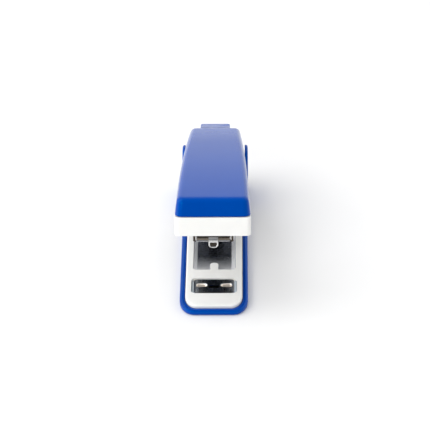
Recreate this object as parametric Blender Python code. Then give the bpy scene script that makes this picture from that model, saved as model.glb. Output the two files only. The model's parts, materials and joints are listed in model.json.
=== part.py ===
"""Small plastic office stapler for fine 10-series staples, as an assembly of separate pieces.

The stapler faces -Y, +X is its left-hand side seen from the front, +Z is up and the soles of its
rubber pads lie on z = 0. The magazine and the handle turn on one pin at the rear, so each of them
is modelled level in a frame of its own, whose origin is on the pin, and an empty on the pin tilts
it to the raised position in which the stapler rests. All lengths below are in millimetres.
"""
import math

import bmesh
import bpy

MM = 0.001
GAP = 0.3

# Overall layout
BASE_HALF_WIDTH = 11.15
BASE_LENGTH = 80.5
ROW_CENTRE_Y = 43.315
PIN_Y = 73.3
PIN_Z = 14.9
PIN_RADIUS = 1.15
PIN_HOLE_RADIUS = PIN_RADIUS + GAP
MAGAZINE_TILT = math.radians(10.8)
HANDLE_TILT = math.radians(14.8)
DRIVER_STROKE = math.radians(4.7)

# Base
SOLE_BOTTOM = 0.4
SOLE_FLOOR = 1.2
RIM_TOP = 1.8
RIM_WIDTH = 1.6
INSERT_BOTTOM = 1.4
INSERT_TOP = 2.8
FRONT_CORNER_X = 4.8
FRONT_CORNER_Y = 6.8
REAR_CORNER = 4.0
EAR_INNER = 10.25
EAR_OUTER = 11.35
EAR_RECESS = 0.5
EAR_RADIUS = 4.6
WINDOW_HALF_WIDTH = 7.0
WINDOW_FRONT = 22.2
WINDOW_REAR = 66.0
INSERT_REAR = 69.0
INSERT_TONGUE_HALF_WIDTH = 1.35
INSERT_TONGUE_TIP = 26.2
ANVIL_Y = 13.05
POCKET_Y = 13.8
ANVIL_HALF_WIDTH = 7.25
ANVIL_HALF_DEPTH = 4.1
ANVIL_TOP = 2.45
TONGUE_SLOT_Y = 12.88
TONGUE_SLOT_HALF_DEPTH = 0.72
RIVET_Y = 54.0
PAD_SPANS = ((9.0, 21.0), (56.0, 70.0))

# Magazine, in its own frame: forward is -Y and z = 0 is the pin's axis
CHANNEL_HALF_WIDTH = 6.6
CHANNEL_WALL = 1.0
CHANNEL_BOTTOM = -5.7
CHANNEL_FLOOR = 0.6
CHANNEL_TOP = 1.2
CHANNEL_FRONT = 61.5
CHANNEL_REAR = -3.6
HEEL_RADIUS = 5.55
EXIT_REAR = 59.2
PLATE_REAR = 60.75
PLATE_THICKNESS = 0.6
STAPLE_HALF_WIDTH = 5.0
STAPLE_WIRE = 0.5
STAPLE_TOP = -0.15
STAPLE_COUNT = 50
CORE_HALF_WIDTH = 4.2
ROD_Z = 2.3
ROD_RADIUS = 0.8
PUSHER_LENGTH = 7.0
STRIP_FRONT = EXIT_REAR + 0.2
STRIP_REAR = STRIP_FRONT - STAPLE_COUNT * STAPLE_WIRE
PUSHER_FRONT = STRIP_REAR - 0.25
BLOCK_FRONT = 5.0

# Handle, in its own frame, level with its top face
HANDLE_TOP = 8.9
CROWN = 1.75
NOSE_FALL = 0.7
TAIL_RISE = 0.35
TAB_HALF_WIDTH = 5.15
TAB_LENGTH = 4.7
HANDLE_FRONT = 72.65
HANDLE_REAR = -6.65
SEAM = 2.25
SKIRT_BOTTOM = -3.95
COVER_WALL = 1.0
FRAME_HALF_WIDTH = 7.35
FRAME_SHEET = 0.45
FRAME_TOP = 6.0
BLADE_THICKNESS = 0.45
RIVET_Z = 3.9


# ---------------------------------------------------------------- scene and materials

def clear_scene():
    for old in list(bpy.data.objects):
        bpy.data.objects.remove(old, do_unlink=True)


def material(name, colour, roughness, metallic=0.0):
    mat = bpy.data.materials.get(name) or bpy.data.materials.new(name)
    mat.use_nodes = True
    shader = mat.node_tree.nodes["Principled BSDF"]
    shader.inputs["Base Color"].default_value = (*colour, 1.0)
    shader.inputs["Roughness"].default_value = roughness
    shader.inputs["Metallic"].default_value = metallic
    mat.diffuse_color = (*colour, 1.0)
    return mat


BLUE_PLASTIC = ("blue_plastic", (0.004, 0.055, 0.42), 0.35)
WHITE_PLASTIC = ("white_plastic", (0.86, 0.86, 0.83), 0.4)
BRIGHT_STEEL = ("bright_steel", (0.62, 0.62, 0.61), 0.22, 1.0)
ZINC_STEEL = ("zinc_steel", (0.48, 0.48, 0.47), 0.38, 1.0)
SPRING_STEEL = ("spring_steel", (0.40, 0.39, 0.37), 0.3, 1.0)
DARK_PLASTIC = ("dark_plastic", (0.03, 0.03, 0.035), 0.45)
RUBBER = ("rubber", (0.02, 0.02, 0.02), 0.8)


def empty(name, location, tilt=0.0, parent=None):
    holder = bpy.data.objects.new(name, None)
    holder.location = [value * MM for value in location]
    holder.rotation_euler.x = tilt
    holder.parent = parent
    bpy.context.collection.objects.link(holder)
    return holder


# ---------------------------------------------------------------- mesh helpers

def finish_mesh(name, bm, parent, look, smooth_angle=35.0):
    """Turn a bmesh in millimetres into an object in metres."""
    bmesh.ops.recalc_face_normals(bm, faces=bm.faces)
    bmesh.ops.scale(bm, vec=(MM, MM, MM), verts=bm.verts)
    mesh = bpy.data.meshes.new(name)
    bm.to_mesh(mesh)
    bm.free()
    mesh.shade_smooth()
    mesh.set_sharp_from_angle(angle=math.radians(smooth_angle))
    obj = bpy.data.objects.new(name, mesh)
    obj.parent = parent
    bpy.context.collection.objects.link(obj)
    if look:
        mesh.materials.append(material(*look))
    return obj


def add_loft(bm, rings, closed=False):
    """Skin rings of equal length; a closed loft joins its last ring to its first."""
    loops = [[bm.verts.new(point) for point in ring] for ring in rings]
    count = len(loops[0])
    pairs = list(zip(loops, loops[1:]))
    if closed:
        pairs.append((loops[-1], loops[0]))
    for low, high in pairs:
        for i in range(count):
            j = (i + 1) % count
            bm.faces.new((low[i], low[j], high[j], high[i]))
    if not closed:
        bm.faces.new(loops[0])
        bm.faces.new(loops[-1])


def loft(name, rings, parent, look, closed=False):
    bm = bmesh.new()
    add_loft(bm, rings, closed)
    return finish_mesh(name, bm, parent, look)


def level(outline, z):
    return [(x, y, z) for x, y in outline]


def prism(name, outline, bottom, top, parent, look):
    return loft(name, [level(outline, bottom), level(outline, top)], parent, look)


def box(name, x, y, z, parent, look=None):
    outline = [(x[0], y[0]), (x[1], y[0]), (x[1], y[1]), (x[0], y[1])]
    return prism(name, outline, z[0], z[1], parent, look)


def side_prism(name, outline, x_low, x_high, parent, look=None):
    """Extrude an outline of (y, z) points along X."""
    rings = [[(x, y, z) for y, z in outline] for x in (x_low, x_high)]
    return loft(name, rings, parent, look)


def front_prism(name, outline, y_low, y_high, parent, look=None):
    """Extrude an outline of (x, z) points along Y."""
    rings = [[(x, y, z) for x, z in outline] for y in (y_low, y_high)]
    return loft(name, rings, parent, look)


def turned(name, profile, centre, axis, parent, look=None, sides=24):
    """Rings of (distance along the axis, radius) around the X, Y or Z axis through centre."""
    rings = []
    for along, radius in profile:
        ring = []
        for i in range(sides):
            angle = math.tau * i / sides
            a, b = radius * math.cos(angle), radius * math.sin(angle)
            offset = {"X": (along, a, b), "Y": (a, along, b), "Z": (a, b, along)}[axis]
            ring.append(tuple(c + o for c, o in zip(centre, offset)))
        rings.append(ring)
    return loft(name, rings, parent, look)


def boolean(target, tool, operation="DIFFERENCE"):
    modifier = target.modifiers.new(tool.name, "BOOLEAN")
    modifier.operation = operation
    modifier.object = tool
    tool.hide_render = True
    tool.display_type = "WIRE"


def bevel(obj, width, segments=2, angle=40.0):
    modifier = obj.modifiers.new("edges", "BEVEL")
    modifier.width = width * MM
    modifier.segments = segments
    modifier.limit_method = "ANGLE"
    modifier.angle_limit = math.radians(angle)


def arc(centre, radii, start, end, steps):
    points = []
    for i in range(steps + 1):
        angle = math.radians(start + (end - start) * i / steps)
        points.append((centre[0] + radii[0] * math.cos(angle), centre[1] + radii[1] * math.sin(angle)))
    return points


def rounded_box(x_half, y_low, y_high, radius, steps=4):
    outline = []
    corners = ((x_half, y_low, -90), (x_half, y_high, 0), (-x_half, y_high, 90), (-x_half, y_low, 180))
    for x, y, start in corners:
        centre = (x - math.copysign(radius, x), y + (radius if y == y_low else -radius))
        outline += arc(centre, (radius, radius), start, start + 90, steps)
    return outline


# ---------------------------------------------------------------- base

def base_outline(inset, steps=8):
    """Plan of the base: long rounded front corners, straight sides and small rear corners."""
    half = BASE_HALF_WIDTH - inset
    front_x, front_y = FRONT_CORNER_X - inset * 0.5, FRONT_CORNER_Y - inset * 0.5
    rear = REAR_CORNER - inset
    right = arc((half - front_x, inset + front_y), (front_x, front_y), -90, 0, steps)
    right += arc((half - rear, BASE_LENGTH - inset - rear), (rear, rear), 0, 90, 4)
    return right + [(-x, y) for x, y in reversed(right)]


def make_sole(base):
    rings = [level(base_outline(inset), z) for inset, z in (
        (0.5, SOLE_BOTTOM), (0.12, SOLE_BOTTOM + 0.15), (0.0, SOLE_BOTTOM + 0.45), (0.0, RIM_TOP - 0.35),
        (0.1, RIM_TOP - 0.08), (0.35, RIM_TOP), (RIM_WIDTH - 0.15, RIM_TOP), (RIM_WIDTH, RIM_TOP - 0.15),
        (RIM_WIDTH, SOLE_FLOOR))]
    sole = loft("base_sole", rings, base, BLUE_PLASTIC)
    for side in (-1, 1):
        add_ear(sole, side, base)
    for number, (low, high) in enumerate(PAD_SPANS):
        recess = rounded_box(6.6, low - GAP, high + GAP, 1.8)
        boolean(sole, prism(f"pad_recess_{number}", recess, -1.0, SOLE_BOTTOM + 0.4, base, None))


def add_ear(sole, side, base):
    """A lug outside the handle that carries one end of the pivot pin."""
    foot = RIM_TOP - 0.5
    outline = [(60.5, foot), (62.5, foot + 1.6)]
    outline += reversed(arc((PIN_Y, PIN_Z), (EAR_RADIUS, EAR_RADIUS), -12, 148, 12))
    outline += [(PIN_Y + EAR_RADIUS - 0.3, 6.0), (PIN_Y + EAR_RADIUS - 0.9, foot)]
    name = "left" if side > 0 else "right"
    inner, outer = sorted((side * EAR_INNER, side * EAR_OUTER))
    ear = side_prism(f"ear_{name}", outline, inner, outer, base)
    bevel(ear, 0.45, 3)
    boolean(sole, ear, "UNION")
    hole = turned(f"ear_hole_{name}", [(-3.0, PIN_HOLE_RADIUS), (3.0, PIN_HOLE_RADIUS)],
                  (side * EAR_OUTER, PIN_Y, PIN_Z), "X", base)
    boolean(sole, hole)
    recess = turned(f"ear_recess_{name}", [(-EAR_RECESS, 2.5), (EAR_RECESS, 2.5)],
                    (side * EAR_OUTER, PIN_Y, PIN_Z), "X", base)
    boolean(sole, recess)


def make_pads(base):
    for name, (low, high) in zip(("front_pad", "rear_pad"), PAD_SPANS):
        outline = rounded_box(6.3, low, high, 1.5)
        prism(name, outline, 0.0, SOLE_BOTTOM + 0.2, base, RUBBER)


def make_insert(base):
    start = RIM_WIDTH + 0.25

    def section(inset, z):
        return [(x, min(y, INSERT_REAR - inset), z) for x, y in base_outline(start + inset)]

    profile = ((0.15, INSERT_BOTTOM), (0.0, INSERT_BOTTOM + 0.15), (0.0, INSERT_TOP - 0.6),
               (0.08, INSERT_TOP - 0.3), (0.3, INSERT_TOP - 0.08), (0.62, INSERT_TOP))
    insert = loft("base_insert", [section(*step) for step in profile], base, WHITE_PLASTIC)
    anvil_window = rounded_box(ANVIL_HALF_WIDTH + 0.25, ANVIL_Y - ANVIL_HALF_DEPTH - 0.25,
                               ANVIL_Y + ANVIL_HALF_DEPTH + 0.25, 1.5)
    boolean(insert, prism("anvil_window", anvil_window, 0.0, 4.0, base, None))
    half = INSERT_TONGUE_HALF_WIDTH
    tip = INSERT_TONGUE_TIP
    window = rounded_box(WINDOW_HALF_WIDTH, WINDOW_FRONT, WINDOW_REAR, 1.2)
    tongue = [(-half - 0.35, WINDOW_FRONT), (-half, WINDOW_FRONT + 0.35)]
    tongue += reversed(arc((0.0, tip - 0.9), (half, 0.9), 0, 180, 8))
    tongue += [(half, WINDOW_FRONT + 0.35), (half + 0.35, WINDOW_FRONT)]
    boolean(insert, prism("plate_window", window + tongue, 0.0, 4.0, base, None))


def make_base_plate(base):
    """Pressed steel tray behind the anvil, with turned-up flanges along both sides."""
    half = WINDOW_HALF_WIDTH - 0.3
    low, high, sheet = INSERT_BOTTOM, INSERT_TOP - 0.35, 0.5
    section = [(-half, low), (half, low), (half, high), (half - sheet, high), (half - sheet, low + sheet),
               (-half + sheet, low + sheet), (-half + sheet, high), (-half, high)]
    front, rear = WINDOW_FRONT + GAP, WINDOW_REAR - GAP
    plate = front_prism("base_plate", section, front, rear, base, BRIGHT_STEEL)
    corners = prism("plate_corners", rounded_box(half + 0.1, front - 0.1, rear + 0.1, 1.1), 0.0, 4.0, base, None)
    boolean(plate, corners, "INTERSECT")
    notch = rounded_box(INSERT_TONGUE_HALF_WIDTH + 0.6, WINDOW_FRONT - 3.0, INSERT_TONGUE_TIP + GAP, 0.8)
    boolean(plate, prism("tongue_notch", notch, 0.0, 4.0, base, None))
    rivet_hole = turned("plate_rivet_hole", [(-2.0, 1.3), (2.0, 1.3)], (0, RIVET_Y, low), "Z", base)
    boolean(plate, rivet_hole)


def pocket_outline(side):
    """One leg pocket of the anvil: a slot that widens towards its inner end."""
    inner, outer = 2.35, 5.7
    points = arc((inner + 0.75, POCKET_Y), (0.75, 0.85), 90, 270, 6)
    points += arc((outer - 0.6, POCKET_Y), (0.6, 0.65), -90, 90, 6)
    return [(side * x, y) for x, y in points]


def make_anvil(base):
    rings = []
    for inset, z in ((0.0, INSERT_BOTTOM), (0.0, ANVIL_TOP - 0.35), (0.35, ANVIL_TOP)):
        outline = rounded_box(ANVIL_HALF_WIDTH - inset, ANVIL_Y - ANVIL_HALF_DEPTH + inset,
                              ANVIL_Y + ANVIL_HALF_DEPTH - inset, 1.3 - inset * 0.5)
        rings.append(level(outline, z))
    anvil = loft("anvil", rings, base, BRIGHT_STEEL)
    for side in (-1, 1):
        cutter = prism(f"pocket_{'left' if side > 0 else 'right'}", pocket_outline(side),
                       ANVIL_TOP - 0.55, ANVIL_TOP + 1.0, base, None)
        boolean(anvil, cutter)
    slot = rounded_box(1.95, TONGUE_SLOT_Y - TONGUE_SLOT_HALF_DEPTH, TONGUE_SLOT_Y + TONGUE_SLOT_HALF_DEPTH, 0.4)
    boolean(anvil, prism("tongue_slot", slot, 0.0, 4.0, base, None))


def leaf(name, centre_line, half_width, thickness, parent, look):
    """A bent strip: the centre line is (y, z) points, thickened across the bend."""
    upper, lower = [], []
    for i, (y, z) in enumerate(centre_line):
        y0, z0 = centre_line[max(i - 1, 0)]
        y1, z1 = centre_line[min(i + 1, len(centre_line) - 1)]
        length = math.hypot(y1 - y0, z1 - z0)
        normal = (-(z1 - z0) / length * thickness / 2, (y1 - y0) / length * thickness / 2)
        upper.append((y + normal[0], z + normal[1]))
        lower.append((y - normal[0], z - normal[1]))
    return side_prism(name, upper + lower[::-1], -half_width, half_width, parent, look)


def make_lift_spring(base):
    """Leaf spring riveted to the base plate that holds the magazine up."""
    bottom = INSERT_BOTTOM + 0.5 + GAP + 0.2
    line = [(58.5, bottom), (54.0, bottom), (50.5, bottom)]
    bend, rise, reach = 50.5, 14.6, 22.0
    for i in range(1, 11):
        t = i / 10
        line.append((bend - reach * t, bottom + rise * (1.35 * t * t - 0.35 * t ** 3)))
    strip = leaf("lift_spring", line, 2.6, 0.4, base, SPRING_STEEL)
    hole = turned("spring_rivet_hole", [(-2.0, 1.3), (2.0, 1.3)], (0, RIVET_Y, bottom), "Z", base)
    boolean(strip, hole)
    rivet = [(INSERT_BOTTOM + 0.1, 1.0), (bottom + 0.5, 1.0), (bottom + 0.5, 1.9), (bottom + 0.8, 1.75),
             (bottom + 1.0, 1.1)]
    turned("lift_spring_rivet", rivet, (0, RIVET_Y, 0), "Z", base, ZINC_STEEL, 20)


def make_pin(base):
    head = EAR_OUTER - 0.1
    profile = [(-head, 1.6), (-head + 0.12, 2.1), (-EAR_OUTER + 0.4, 2.1), (-EAR_OUTER + 0.4, PIN_RADIUS),
               (EAR_OUTER - 0.3, PIN_RADIUS), (EAR_OUTER - 0.1, PIN_RADIUS - 0.2)]
    turned("pivot_pin", profile, (0, PIN_Y, PIN_Z), "X", base, ZINC_STEEL)
    clip = []
    inner, outer, low, high = PIN_RADIUS + 0.2, 2.1, EAR_OUTER - 0.4, EAR_OUTER - 0.15
    for along, radius in ((low, inner), (low, outer), (high, outer), (high, inner)):
        clip.append([(along, PIN_Y + radius * math.cos(math.tau * i / 24),
                      PIN_Z + radius * math.sin(math.tau * i / 24)) for i in range(24)])
    loft("pin_clip", clip, base, SPRING_STEEL, closed=True)


# ---------------------------------------------------------------- magazine

def make_channel(magazine):
    half, inner = CHANNEL_HALF_WIDTH, CHANNEL_HALF_WIDTH - CHANNEL_WALL
    floor = CHANNEL_BOTTOM + CHANNEL_FLOOR
    section = [(-half, CHANNEL_TOP), (-half, CHANNEL_BOTTOM), (half, CHANNEL_BOTTOM), (half, CHANNEL_TOP),
               (inner, CHANNEL_TOP), (inner, floor), (-inner, floor), (-inner, CHANNEL_TOP)]
    channel = front_prism("magazine_channel", section, -CHANNEL_FRONT, -CHANNEL_REAR, magazine, ZINC_STEEL)
    exit_slot = box("staple_exit", (-inner, inner), (-CHANNEL_FRONT - 1.0, -EXIT_REAR),
                    (CHANNEL_BOTTOM - 1.0, floor + 0.2), magazine)
    boolean(channel, exit_slot)
    heel = [(-CHANNEL_REAR + 1.0, CHANNEL_BOTTOM - 1.0), (0.0, CHANNEL_BOTTOM - 1.0), (0.0, CHANNEL_BOTTOM)]
    heel += arc((0.0, 0.0), (HEEL_RADIUS, HEEL_RADIUS), -70, -40, 5)
    boolean(channel, side_prism("heel_relief", heel, -12, 12, magazine))
    hole = turned("channel_pin_hole", [(-9.0, PIN_HOLE_RADIUS), (9.0, PIN_HOLE_RADIUS)], (0, 0, 0), "X",
                  magazine)
    boolean(channel, hole)


def make_front_plate(magazine):
    """Nose plate between the channel walls, with a joggled tongue below its middle."""
    half = CHANNEL_HALF_WIDTH - CHANNEL_WALL - GAP
    low, front = CHANNEL_BOTTOM + 0.05, -PLATE_REAR - PLATE_THICKNESS
    plate = box("front_plate", (-half, half), (front, -PLATE_REAR), (low, CHANNEL_TOP + 0.3), magazine,
                ZINC_STEEL)
    width, drop = 1.55, 2.05
    outline = [(width + 0.2, low + 1.3), (width, low + 0.6)]
    outline += reversed(arc((0, low - drop + 1.3), (width, 1.3), -180, 0, 8))
    outline += [(-width, low + 0.6), (-width - 0.2, low + 1.3)]
    tongue = front_prism("nose_tongue", outline, front - 0.35, front + 0.2, magazine)
    boolean(plate, tongue, "UNION")


def make_core(magazine):
    """Hollow rail under the staples: an upside-down channel standing on the magazine floor."""
    half, sheet = CORE_HALF_WIDTH, 0.6
    foot = CHANNEL_BOTTOM + CHANNEL_FLOOR + 0.2
    top = STAPLE_TOP - STAPLE_WIRE - GAP
    section = [(-half, foot), (-half, top), (half, top), (half, foot), (half - sheet, foot),
               (half - sheet, top - sheet), (-half + sheet, top - sheet), (-half + sheet, foot)]
    core = front_prism("staple_rail", section, -STRIP_FRONT, -6.4, magazine, BRIGHT_STEEL)
    bevel(core, 0.15, 1)


def make_staples(magazine):
    """A full strip of glued staples astride the rail, one ring of grooves per wire."""
    outer, inner = STAPLE_HALF_WIDTH, STAPLE_HALF_WIDTH - STAPLE_WIRE
    foot = CHANNEL_BOTTOM + CHANNEL_FLOOR + 0.2
    groove = 0.05
    rings = []
    for number in range(STAPLE_COUNT):
        start = STRIP_FRONT - number * STAPLE_WIRE
        for along, cut in ((0.03, groove), (STAPLE_WIRE / 2, 0.0)):
            u, wide, high = start - along, outer - cut, STAPLE_TOP - cut
            rings.append([(x, -u, z) for x, z in (
                (-wide, foot), (-wide, high - 0.15), (-wide + 0.15, high), (wide - 0.15, high),
                (wide, high - 0.15), (wide, foot), (inner + cut, foot), (inner + cut, high - STAPLE_WIRE + cut),
                (-inner - cut, high - STAPLE_WIRE + cut), (-inner - cut, foot))])
    loft("staple_strip", rings, magazine, BRIGHT_STEEL)


def make_rear_block(magazine):
    """Moulded block round the pin that closes the channel's rear and holds the guide rod."""
    half = CHANNEL_HALF_WIDTH - CHANNEL_WALL - GAP
    outline = [(-BLOCK_FRONT, -4.8), (-BLOCK_FRONT, 4.1), (-BLOCK_FRONT + 0.8, 4.6), (0.8, 4.6), (3.2, 2.2),
               (3.2, -4.0), (2.4, -4.8)]
    block = side_prism("magazine_rear_block", outline, -half, half, magazine, DARK_PLASTIC)
    hole = turned("block_pin_hole", [(-9.0, PIN_HOLE_RADIUS), (9.0, PIN_HOLE_RADIUS)], (0, 0, 0), "X", magazine)
    boolean(block, hole)
    socket = turned("rod_socket", [(-9.0, ROD_RADIUS + 0.25), (-2.9, ROD_RADIUS + 0.25)], (0, 0, ROD_Z), "Y",
                    magazine)
    boolean(block, socket)


def make_guide_rod(magazine):
    front, rear = PUSHER_FRONT + 1.2, 3.2
    profile = [(-front, 0.5), (-front + 0.3, ROD_RADIUS), (-rear - 0.1, ROD_RADIUS), (-rear, ROD_RADIUS - 0.1)]
    turned("guide_rod", profile, (0, 0, ROD_Z), "Y", magazine, BRIGHT_STEEL, 16)


def make_pusher(pusher):
    """Follower astride the rail, with an eye on top that slides along the guide rod."""
    outer, inner = STAPLE_HALF_WIDTH, CORE_HALF_WIDTH + 0.3
    foot = CHANNEL_BOTTOM + CHANNEL_FLOOR + 0.3
    roof = STAPLE_TOP - STAPLE_WIRE
    section = [(-outer, foot), (-outer, 0.2), (-2.2, 0.2), (-2.2, 3.9), (-1.6, 4.4), (1.6, 4.4), (2.2, 3.9),
               (2.2, 0.2), (outer, 0.2), (outer, foot), (inner, foot), (inner, roof), (-inner, roof),
               (-inner, foot)]
    follower = front_prism("pusher", section, -PUSHER_FRONT, -PUSHER_FRONT + PUSHER_LENGTH, pusher, DARK_PLASTIC)
    eye = turned("pusher_eye", [(-60.0, ROD_RADIUS + 0.3), (0.0, ROD_RADIUS + 0.3)], (0, 0, ROD_Z), "Y", pusher)
    boolean(follower, eye)
    bevel(follower, 0.15, 1)


def make_pusher_spring(magazine):
    """Open coil round the guide rod, from the rear block to the pusher's eye."""
    turns, per_turn, sides = 13, 12, 5
    coil, wire = 1.45, 0.2
    low, high = BLOCK_FRONT + 0.5, PUSHER_FRONT - PUSHER_LENGTH - 0.5
    rings = []
    steps = turns * per_turn
    for i in range(steps + 1):
        angle = math.tau * i / per_turn
        along = -(low + (high - low) * i / steps)
        radial = (math.cos(angle), math.sin(angle))
        ring = []
        for k in range(sides):
            turn = math.tau * k / sides
            radius = coil + wire * math.cos(turn)
            ring.append((radius * radial[0], along + wire * math.sin(turn), ROD_Z + radius * radial[1]))
        rings.append(ring)
    loft("pusher_spring", rings, magazine, SPRING_STEEL)


# ---------------------------------------------------------------- handle

def handle_half_width(u):
    """Half width of the handle's top at u forward of the pin: it swells towards the front."""
    back = HANDLE_FRONT - u
    return 11.52 - 0.012 * back - 0.00031 * back * back


def handle_outline(inset, side_steps=9, corner_steps=5):
    """Plan of the handle, shrunk by inset; a negative inset makes it larger."""
    front, rear = HANDLE_FRONT - inset, HANDLE_REAR + inset
    front_r, rear_r = max(1.9 - inset * 0.6, 0.4), max(1.8 - inset * 0.6, 0.4)
    right = []
    rear_x = handle_half_width(rear + rear_r) - inset
    for x, y in arc((rear_x - rear_r, -(rear + rear_r)), (rear_r, rear_r), 90, 0, corner_steps):
        right.append((x, y))
    for i in range(1, side_steps):
        u = rear + rear_r + (front - front_r - rear - rear_r) * i / side_steps
        right.append((handle_half_width(u) - inset, -u))
    front_x = handle_half_width(front - front_r) - inset
    right += arc((front_x - front_r, -(front - front_r)), (front_r, front_r), 0, -90, corner_steps)
    return right + [(-x, y) for x, y in reversed(right)]


def crowned(outline, z):
    """A ring at height z that follows the cover's lengthwise crown, fully so at the top."""
    middle, half = (HANDLE_FRONT + HANDLE_REAR) / 2, (HANDLE_FRONT - HANDLE_REAR) / 2
    share = (z - SEAM) / (HANDLE_TOP - SEAM)
    points = []
    for x, y in outline:
        place = (-y - middle) / half
        rise = CROWN * (1 - place ** 2) - NOSE_FALL * (1 + place) / 2 + TAIL_RISE * (1 - place) / 2
        points.append((x, y, z + share * rise))
    return points


def make_cover(handle):
    """Crowned shell, open below; its top and ceiling are skinned in strips from side to side."""
    outer = ((-0.5, SEAM + 0.3), (-0.22, 5.2), (-0.02, 6.9), (0.22, 7.7), (0.6, 8.3), (1.1, 8.7),
             (1.7, 8.87), (2.6, HANDLE_TOP))
    inner = ((1.9, HANDLE_TOP - COVER_WALL), (1.2, 7.0), (COVER_WALL - 0.22, 5.2), (COVER_WALL - 0.5, SEAM + 0.3))
    bm = bmesh.new()
    loops = [[bm.verts.new(point) for point in crowned(handle_outline(inset), z)] for inset, z in outer + inner]
    count, caps = len(loops[0]), len(outer)
    pairs = [pair for i, pair in enumerate(zip(loops, loops[1:])) if i != caps - 1] + [(loops[-1], loops[0])]
    for low, high in pairs:
        for i in range(count):
            j = (i + 1) % count
            bm.faces.new((low[i], low[j], high[j], high[i]))
    for ring in (loops[caps - 1], loops[caps]):
        for i in range(count // 2 - 1):
            bm.faces.new((ring[i], ring[i + 1], ring[-2 - i], ring[-1 - i]))
    cover = finish_mesh("handle_cover", bm, handle, BLUE_PLASTIC)
    tail = rounded_box(TAB_HALF_WIDTH, -HANDLE_REAR - 2.0, -HANDLE_REAR + TAB_LENGTH, 0.9)
    tab = prism("rear_tab", tail, HANDLE_TOP + TAIL_RISE - 1.4, HANDLE_TOP + TAIL_RISE - 0.03, handle, None)
    boolean(cover, tab, "UNION")


def make_liner(handle):
    """White lower half of the handle: a skirt with a lip that stands up inside the cover."""
    profile = ((-0.3, SKIRT_BOTTOM), (-0.56, SKIRT_BOTTOM + 0.28), (-0.58, SEAM - 0.3), (-0.4, SEAM),
               (COVER_WALL - 0.2, SEAM), (COVER_WALL - 0.1, 4.1), (COVER_WALL + 0.4, 4.1),
               (COVER_WALL + 0.3, SEAM - 0.6), (0.75, SEAM - 1.0), (0.75, SKIRT_BOTTOM))
    rings = [level(handle_outline(inset), z) for inset, z in profile]
    liner = loft("handle_skirt", rings, handle, WHITE_PLASTIC, closed=True)
    boolean(liner, box("lip_relief", (-12, 12), (-14, 4.0), (SEAM + 0.05, 5.0), handle))
    boolean(liner, box("cheek_room", (-7.75, 7.75), (-14, 4.0), (1.0, 5.0), handle))
    hole = turned("skirt_pin_hole", [(-12.0, PIN_HOLE_RADIUS), (12.0, PIN_HOLE_RADIUS)], (0, 0, 0), "X", handle)
    boolean(liner, hole)


def make_handle_frame(handle):
    """Steel arm inside the handle: a web with two cheeks that turn on the pin."""
    half, sheet = FRAME_HALF_WIDTH, FRAME_SHEET
    front, rear = 58.9, -3.0
    section = [(-half, -2.4), (-half, FRAME_TOP), (half, FRAME_TOP), (half, -2.4), (half - sheet, -2.4),
               (half - sheet, FRAME_TOP - sheet), (-half + sheet, FRAME_TOP - sheet), (-half + sheet, -2.4)]
    frame = front_prism("handle_frame", section, -front, -rear, handle, ZINC_STEEL)
    relief = side_prism("cheek_relief", [(-front - 2, -6), (-6.5, -6), (-3.5, -3), (-8.5, 2.4), (-front - 2, 3.4)],
                        -12, 12, handle)
    boolean(frame, relief)
    flange = box("blade_flange", (-4.2, 4.2), (-front - sheet, -front + 0.4), (2.3, FRAME_TOP), handle)
    boolean(frame, flange, "UNION")
    for tool in (
            turned("frame_pin_hole", [(-12.0, PIN_HOLE_RADIUS), (12.0, PIN_HOLE_RADIUS)], (0, 0, 0), "X", handle),
            turned("flange_rivet_hole", [(-2.5, 1.0), (2.5, 1.0)], (0, -front, RIVET_Z), "Y", handle)):
        boolean(frame, tool)


def make_driver(handle):
    """Blade that pushes one staple out; it stands square to the magazine halfway down its stroke."""
    mount = empty("blade_mount", (0, -60.05, 0), DRIVER_STROKE * 0.35, handle)
    tip, top, half = -4.05, 5.6, 4.6
    outline = [(-half, tip), (half, tip), (half, 1.4), (half - 1.0, 2.2), (half - 1.0, top), (-half + 1.0, top),
               (-half + 1.0, 2.2), (-half, 1.4)]
    blade = front_prism("driver_blade", outline, -BLADE_THICKNESS / 2, BLADE_THICKNESS / 2, mount, SPRING_STEEL)
    boolean(blade, turned("blade_rivet_hole", [(-2.0, 1.0), (2.0, 1.0)], (0, 0, RIVET_Z), "Y", mount))
    rivet = [(-61.2, 0.8), (-61.1, 1.1), (-60.75, 1.4), (-60.75, 0.7), (-58.1, 0.7), (-58.1, 1.3), (-57.8, 1.1)]
    turned("driver_rivet", rivet, (0, 0, RIVET_Z), "Y", handle, ZINC_STEEL, 16)


def make_driver_spring(handle):
    """Flat spring under the frame's web that lifts the handle off the magazine walls."""
    root = FRAME_TOP - FRAME_SHEET - GAP - 0.2
    line = [(-34.0, root), (-40.0, root)]
    for i in range(1, 9):
        t = i / 8
        line.append((-40.0 - 12.0 * t, root - 6.3 * (1.5 * t * t - 0.5 * t ** 3)))
    leaf("driver_spring", line, 6.1, 0.35, handle, SPRING_STEEL)


# ---------------------------------------------------------------- assembly

def build():
    clear_scene()
    base = empty("base_frame", (0, -ROW_CENTRE_Y, 0))
    magazine = empty("magazine_axis", (0, PIN_Y, PIN_Z), -MAGAZINE_TILT, base)
    pusher = empty("pusher_axis", (0, 0, 0), 0.0, magazine)
    handle = empty("handle_axis", (0, PIN_Y, PIN_Z), -HANDLE_TILT, base)
    for make in (make_sole, make_pads, make_insert, make_base_plate, make_anvil, make_lift_spring, make_pin):
        make(base)
    for make in (make_channel, make_front_plate, make_core, make_staples, make_rear_block, make_guide_rod,
                 make_pusher_spring):
        make(magazine)
    make_pusher(pusher)
    for make in (make_cover, make_liner, make_handle_frame, make_driver, make_driver_spring):
        make(handle)


build()
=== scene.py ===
"""Looks for the small blue and white stapler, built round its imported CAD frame.

Pieces of the base are modelled in a frame of millimetres whose origin is the middle of the base's
front edge. Pieces of the magazine and of the handle are modelled level, in frames of millimetres
whose origin is on the pivot pin, and are tilted into place as they are made.
"""
import json
import math

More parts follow.
